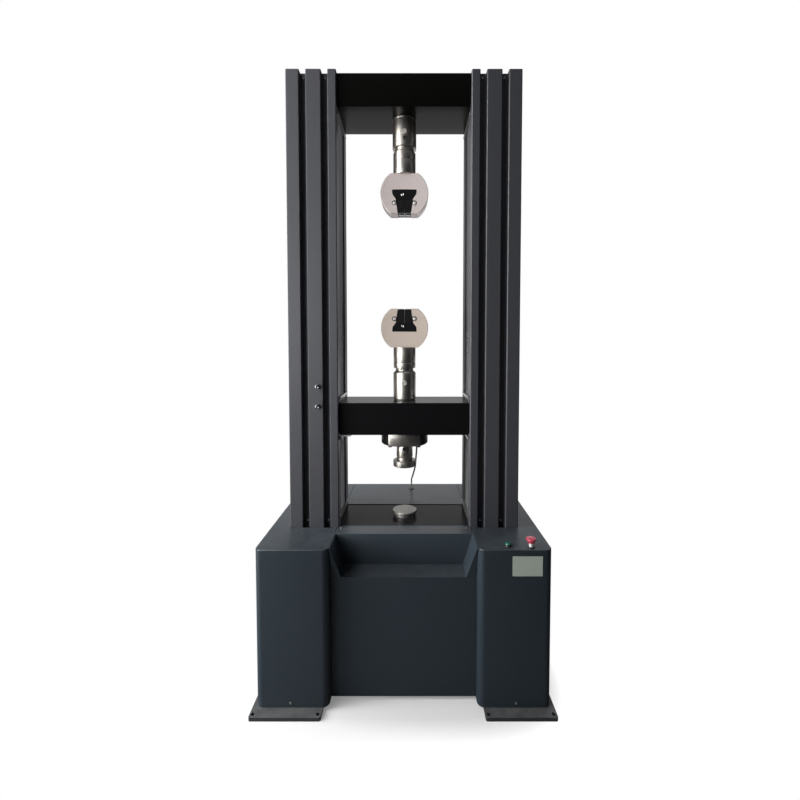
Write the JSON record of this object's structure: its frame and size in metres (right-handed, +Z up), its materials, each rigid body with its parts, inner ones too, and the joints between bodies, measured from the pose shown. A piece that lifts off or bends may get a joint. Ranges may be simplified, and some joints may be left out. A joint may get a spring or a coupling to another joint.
{
  "type": "universal testing machine",
  "caption": "Floor-standing two-column universal testing machine: base cabinet, moving crosshead on screws, wedge grips, load cell, compression platens and control buttons.",
  "frame": {"origin": "on the floor, in the middle of the feet's outline", "axes": "+Z up, +X to the operator's right, -Y towards the operator in front"},
  "size_m": [1.178, 0.86, 2.568],
  "materials": {
    "cabinet_paint": "satin dark blue-grey paint",
    "column_paint": "satin dark grey powder coat",
    "beam_black": "gloss black paint",
    "table_steel": "ground and blackened",
    "frame_iron": "primed casting",
    "frame_steel": "primed steel plate",
    "foot_paint": "matte grey paint",
    "bright_steel": "turned and ground",
    "nickel": "satin nickel plate",
    "jaw_black": "blackened tool steel",
    "bronze": "turned bronze",
    "plate_steel": "bright sheet",
    "bellows_cloth": "coated pleated cloth",
    "belt_rubber": "moulded belt",
    "cable_rubber": "smooth jacket",
    "black_plastic": "moulded",
    "motor_paint": "black paint",
    "box_aluminium": "bare sheet",
    "label_metal": "bare printed plate, left blank",
    "screw_steel": "plated",
    "button_green": "moulded",
    "button_red": "moulded",
    "grey_plastic": "moulded"
  },
  "bodies": {
    "frame": {"feet": "foot_paint", "pedestals": "frame_steel", "base_beam": "frame_iron", "worktable": "table_steel", "base_cover_left": "cabinet_paint", "base_cover_right": "cabinet_paint", "centre_panel": "cabinet_paint", "specimen_tray": "cabinet_paint", "top_cover": "cabinet_paint", "rear_cover": "cabinet_paint", "label_plate": "label_metal", "cover_screws": "screw_steel", "column_front_left": "column_paint", "column_front_right": "column_paint", "column_cover_left": "column_paint", "column_cover_right": "column_paint", "top_beam": "beam_black", "guide_posts": "bright_steel", "screw_bearings": "frame_iron", "drive_belt": "belt_rubber", "motor_bracket": "frame_steel", "servo_motor": "motor_paint", "controller_box": "box_aluminium", "bellows_upper": "bellows_cloth", "bellows_lower": "bellows_cloth", "bellows_ends": "plate_steel", "limit_rod": "bright_steel", "upper_coupling": "bright_steel", "upper_grip": "nickel", "upper_grip_pins": "bright_steel", "lower_platen": "bright_steel", "button_collars": "black_plastic", "cable_grommet": "black_plastic", "load_cell_cable": "cable_rubber"},
    "crosshead": {"crosshead": "beam_black", "ball_nuts": "bright_steel", "guide_bushes": "bronze", "bellows_plates": "plate_steel", "striker_bracket": "frame_steel", "load_cell": "bright_steel", "load_stem": "bright_steel", "upper_platen": "bright_steel", "cable_gland": "black_plastic", "lower_coupling": "bright_steel", "lower_grip": "nickel", "lower_grip_pins": "bright_steel"},
    "screw_left": {"ball_screw_left": "bright_steel"},
    "screw_right": {"ball_screw_right": "bright_steel"},
    "motor_shaft": {"motor_pulley": "bright_steel"},
    "idler_left": {"idler_left": "bright_steel"},
    "idler_right": {"idler_right": "bright_steel"},
    "upper_jaw_left": {"upper_jaw_left": "jaw_black"},
    "upper_jaw_right": {"upper_jaw_right": "jaw_black"},
    "lower_jaw_left": {"lower_jaw_left": "jaw_black"},
    "lower_jaw_right": {"lower_jaw_right": "jaw_black"},
    "limit_knob_upper": {"limit_knob_upper": "screw_steel"},
    "limit_knob_lower": {"limit_knob_lower": "screw_steel"},
    "start_button": {"start_button": "button_green"},
    "estop_stem": {"estop_stem": "grey_plastic"},
    "estop_head": {"estop_head": "button_red"}
  },
  "joints": [
    {"name": "crosshead_travel", "type": "slide", "parent": "frame", "child": "crosshead", "axis": [0, 0, 1], "range_m": [-0.19, 0.36], "deforming": ["bellows_upper", "bellows_lower", "load_cell_cable"]},
    {"name": "screw_left_turn", "type": "hinge", "parent": "frame", "child": "screw_left", "pos_m": [-0.43, -0.047, 0.64], "axis": [0, 0, 1], "range_deg": [-13000, 6900]},
    {"name": "screw_right_turn", "type": "hinge", "parent": "frame", "child": "screw_right", "pos_m": [0.43, -0.047, 0.64], "axis": [0, 0, 1], "range_deg": [-13000, 6900]},
    {"name": "motor_turn", "type": "hinge", "parent": "frame", "child": "motor_shaft", "pos_m": [0, 0.145, 0.45], "axis": [0, 0, 1], "range_deg": [-26000, 13800]},
    {"name": "idler_left_turn", "type": "hinge", "parent": "frame", "child": "idler_left", "pos_m": [-0.06415, 0.04715, 0.41], "axis": [0, 0, 1], "range_deg": [-13900, 26200]},
    {"name": "idler_right_turn", "type": "hinge", "parent": "frame", "child": "idler_right", "pos_m": [0.06415, 0.04715, 0.41], "axis": [0, 0, 1], "range_deg": [-13900, 26200]},
    {"name": "upper_jaw_left_slide", "type": "slide", "parent": "frame", "child": "upper_jaw_left", "axis": [-0.1409, 0, 0.99], "range_m": [0, 0.028]},
    {"name": "upper_jaw_right_slide", "type": "slide", "parent": "frame", "child": "upper_jaw_right", "axis": [0.1409, 0, 0.99], "range_m": [0, 0.028]},
    {"name": "lower_jaw_left_slide", "type": "slide", "parent": "crosshead", "child": "lower_jaw_left", "axis": [-0.1409, 0, -0.99], "range_m": [0, 0.028]},
    {"name": "lower_jaw_right_slide", "type": "slide", "parent": "crosshead", "child": "lower_jaw_right", "axis": [0.1409, 0, -0.99], "range_m": [0, 0.028]},
    {"name": "limit_knob_upper_turn", "type": "hinge", "parent": "frame", "child": "limit_knob_upper", "pos_m": [-0.368, -0.19, 1.25], "axis": [0, -1, 0], "range_deg": [-180, 180]},
    {"name": "limit_knob_lower_turn", "type": "hinge", "parent": "frame", "child": "limit_knob_lower", "pos_m": [-0.368, -0.19, 1.165], "axis": [0, -1, 0], "range_deg": [-180, 180]},
    {"name": "start_button_press", "type": "slide", "parent": "frame", "child": "start_button", "axis": [0, 0, -1], "range_m": [0, 0.003], "stiffness_N_per_m": 500, "springref_m": -0.002},
    {"name": "estop_press", "type": "slide", "parent": "frame", "child": "estop_stem", "axis": [0, 0, -1], "range_m": [0, 0.005]},
    {"name": "estop_twist", "type": "hinge", "parent": "estop_stem", "child": "estop_head", "pos_m": [0.497, -0.361, 0.66], "axis": [0, 0, 1], "range_deg": [-45, 0], "stiffness_Nm_per_rad": 0.05}
  ],
  "couplings": [
    {"joint": "screw_left_turn", "follows": "crosshead_travel", "rad_per_m": -628.32},
    {"joint": "screw_right_turn", "follows": "crosshead_travel", "rad_per_m": -628.32},
    {"joint": "motor_turn", "follows": "crosshead_travel", "rad_per_m": -1256.6},
    {"joint": "idler_left_turn", "follows": "crosshead_travel", "rad_per_m": 1263},
    {"joint": "idler_right_turn", "follows": "crosshead_travel", "rad_per_m": 1263},
    {"joint": "upper_jaw_right_slide", "follows": "upper_jaw_left_slide", "ratio": 1},
    {"joint": "lower_jaw_right_slide", "follows": "lower_jaw_left_slide", "ratio": 1}
  ]
}
